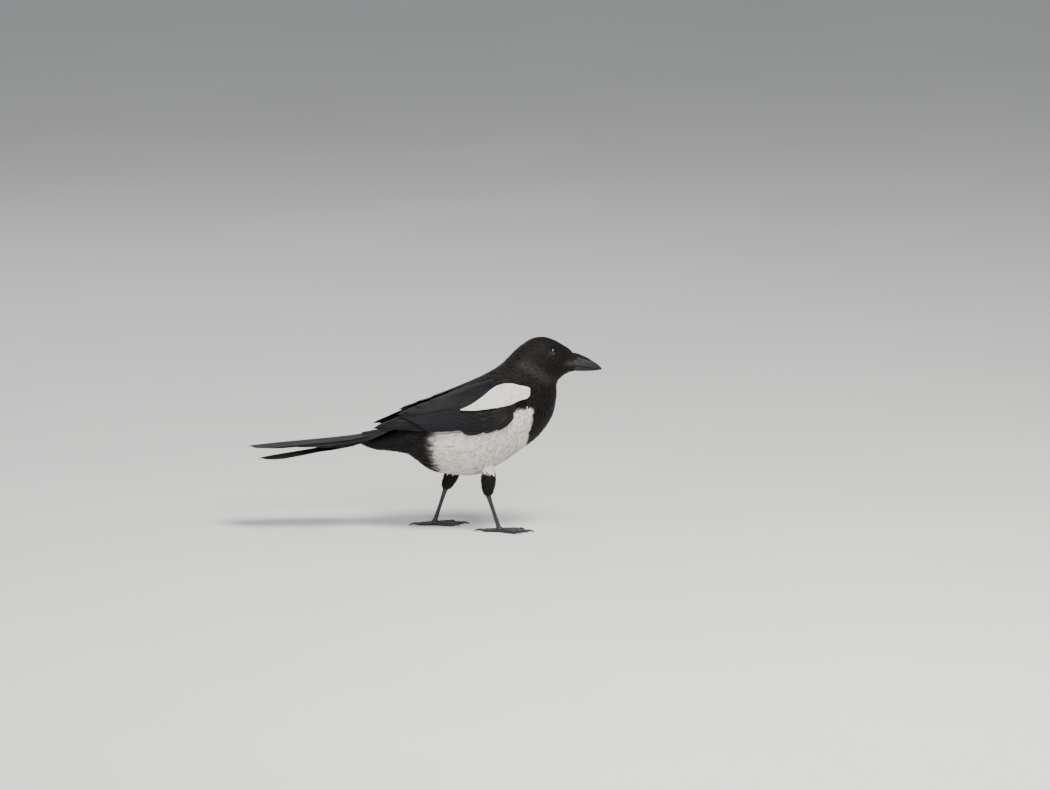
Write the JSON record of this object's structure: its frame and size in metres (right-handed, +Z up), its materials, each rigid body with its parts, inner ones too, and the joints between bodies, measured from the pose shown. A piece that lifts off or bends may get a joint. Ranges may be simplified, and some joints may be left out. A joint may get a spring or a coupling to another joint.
{
  "type": "eurasian magpie",
  "caption": "Black and white long-tailed bird, a life-size still model standing in mid stride with folded wings, bill level and tail held low behind.",
  "frame": {"origin": "on the floor, under the middle of the bird's outer box", "axes": "+X towards the bill, +Y to the bird's left, +Z up"},
  "size_m": [0.371, 0.0884, 0.2046],
  "materials": {
    "black_plumage": "soft black body feathers",
    "mantle_plumage": "brown-black body feathers",
    "wing_plumage": "smooth black flight feathers with a faint blue gloss",
    "tail_plumage": "smooth dark flight feathers with a green and bronze gloss",
    "white_plumage": "soft warm white feathers",
    "bill_horn": "satin black horn, greyer at the gape",
    "eye": "wet dark brown",
    "leg_scale": "black scutes with a dull shine",
    "claw_horn": "satin black horn"
  },
  "bodies": {
    "root": {"belly": "white_plumage", "back": "mantle_plumage", "breast": "black_plumage", "rump": "black_plumage", "neck": "mantle_plumage", "head": "black_plumage", "bill_upper": "bill_horn", "bill_lower": "bill_horn", "eye_right": "eye", "eye_left": "eye", "wing_right": "wing_plumage", "wing_left": "wing_plumage", "scapulars_right": "white_plumage", "scapulars_left": "white_plumage", "tail": "tail_plumage", "thigh_right": "black_plumage", "thigh_left": "black_plumage", "shank_right": "leg_scale", "shank_left": "leg_scale", "foot_right": "leg_scale", "foot_left": "leg_scale", "claw_right_inner": "claw_horn", "claw_right_middle": "claw_horn", "claw_right_outer": "claw_horn", "claw_right_hind": "claw_horn", "claw_left_inner": "claw_horn", "claw_left_middle": "claw_horn", "claw_left_outer": "claw_horn", "claw_left_hind": "claw_horn"}
  },
  "joints": []
}
